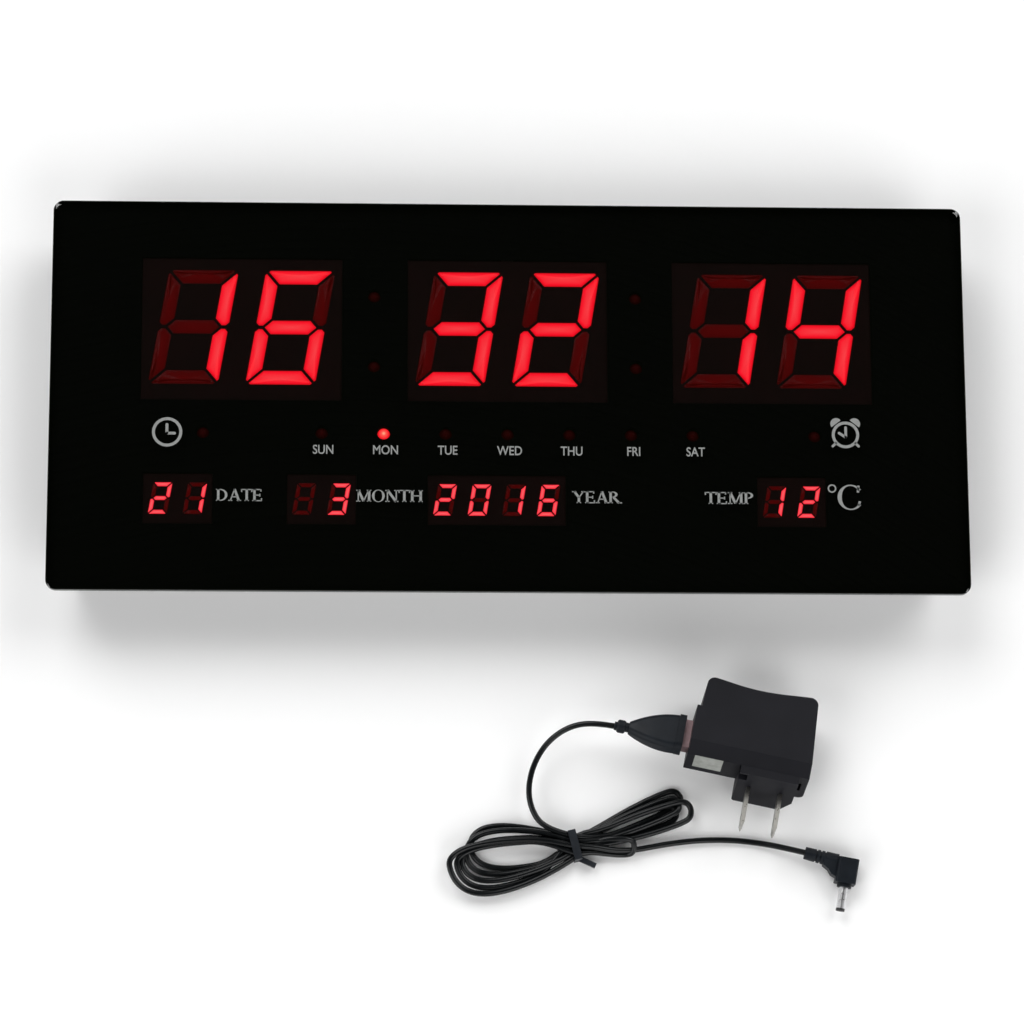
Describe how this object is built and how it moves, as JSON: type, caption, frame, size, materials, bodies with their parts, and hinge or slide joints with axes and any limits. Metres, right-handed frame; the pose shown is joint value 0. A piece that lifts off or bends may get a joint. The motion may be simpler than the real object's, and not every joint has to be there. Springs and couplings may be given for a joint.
{
  "type": "led calendar wall clock with power adapter",
  "caption": "Slim rectangular LED wall clock with seven-segment time, date and temperature displays, a USB mains adapter and a tied power lead.",
  "frame": {"origin": "centre of the clock's flat rear face", "axes": "+X to the right of the display, +Y to its top edge, +Z out of the front panel; the clock lies on its back, and hanging it turns the row 90 degrees about X"},
  "size_m": [0.361, 0.278, 0.03],
  "materials": {
    "smoked_acrylic": "polished, smoked",
    "mask_print": "screen print",
    "foam_tape": "foam",
    "case_plastic": "fine grain",
    "circuit_board": "solder mask",
    "display_body": "dark red potting",
    "light_bar": "diffusing epoxy",
    "led_lens": "tinted epoxy",
    "tinned_wire": "tinned",
    "screw_steel": "zinc plated",
    "chip_epoxy": "moulded",
    "black_plastic": "moulded",
    "knob_plastic": "moulded",
    "cell_steel": "stainless",
    "label_paper": "blank sticker",
    "adapter_plastic": "fine spark texture",
    "blade_nickel": "nickel plated brass",
    "usb_plating": "nickel plated steel",
    "contact_white": "moulded",
    "plug_pvc": "soft overmould",
    "cord_pvc": "glossy jacket",
    "tie_pvc": "coated wire"
  },
  "bodies": {
    "clock": {"alarm_buzzer": "black_plastic", "alarm_switch_body": "black_plastic", "board_screws": "screw_steel", "button_switches": "black_plastic", "clock_crystal": "tinned_wire", "coin_cell": "cell_steel", "coin_cell_holder": "black_plastic", "colon_leds": "led_lens", "date_display_housing": "display_body", "date_display_segments": "light_bar", "dc_jack": "black_plastic", "digit_transistors": "chip_epoxy", "display_pins": "tinned_wire", "driver_chips": "chip_epoxy", "front_panel": "smoked_acrylic", "hours_display_housing": "display_body", "hours_display_segments": "light_bar", "indicator_leds": "led_lens", "led_legs": "tinned_wire", "main_board": "circuit_board", "microcontroller": "chip_epoxy", "minutes_display_housing": "display_body", "minutes_display_segments": "light_bar", "month_display_housing": "display_body", "month_display_segments": "light_bar", "panel_mask": "mask_print", "panel_tape": "foam_tape", "rating_label": "label_paper", "rear_case": "case_plastic", "seconds_display_housing": "display_body", "seconds_display_segments": "light_bar", "segment_resistors": "chip_epoxy", "temperature_display_housing": "display_body", "temperature_display_segments": "light_bar", "thermistor": "black_plastic", "weekday_leds": "led_lens", "year_display_housing": "display_body", "year_display_segments": "light_bar"},
    "set_button": {"set_button": "case_plastic"},
    "up_button": {"up_button": "case_plastic"},
    "down_button": {"down_button": "case_plastic"},
    "alarm_switch": {"alarm_switch_knob": "knob_plastic"},
    "battery_cover": {"battery_cover": "case_plastic"},
    "power_adapter": {"adapter_shell": "adapter_plastic", "adapter_base": "adapter_plastic", "mains_blades": "blade_nickel", "usb_socket": "black_plastic", "adapter_board": "circuit_board", "adapter_components": "black_plastic", "adapter_label": "label_paper"},
    "usb_lead": {"usb_plug_shell": "usb_plating", "usb_plug_insulator": "contact_white", "usb_plug_hood": "plug_pvc", "cord_usb_lead": "cord_pvc", "cord_hank": "cord_pvc", "cord_tie": "tie_pvc", "cord_plug_lead": "cord_pvc", "barrel_plug_hood": "plug_pvc", "barrel_plug_sleeve": "blade_nickel", "barrel_plug_tip": "black_plastic"}
  },
  "joints": [
    {"name": "set_press", "type": "slide", "parent": "clock", "child": "set_button", "axis": [0, 0, 1], "range_m": [0, 0.0006], "stiffness_N_per_m": 2000},
    {"name": "up_press", "type": "slide", "parent": "clock", "child": "up_button", "axis": [0, 0, 1], "range_m": [0, 0.0006], "stiffness_N_per_m": 2000},
    {"name": "down_press", "type": "slide", "parent": "clock", "child": "down_button", "axis": [0, 0, 1], "range_m": [0, 0.0006], "stiffness_N_per_m": 2000},
    {"name": "alarm_switch_slide", "type": "slide", "parent": "clock", "child": "alarm_switch", "axis": [0, 1, 0], "range_m": [0, 0.0025]},
    {"name": "battery_cover_turn", "type": "hinge", "parent": "clock", "child": "battery_cover", "pos_m": [0.062, 0.02, 0], "axis": [0, 0, 1], "range_deg": [0, 45]},
    {"name": "adapter_slide", "type": "slide", "parent": "clock", "child": "power_adapter", "axis": [0, -1, 0], "range_m": [0, 0.06]},
    {"name": "usb_plug_pull", "type": "slide", "parent": "power_adapter", "child": "usb_lead", "axis": [-0.9781, 0.2079, 0], "range_m": [0, 0.012]}
  ]
}
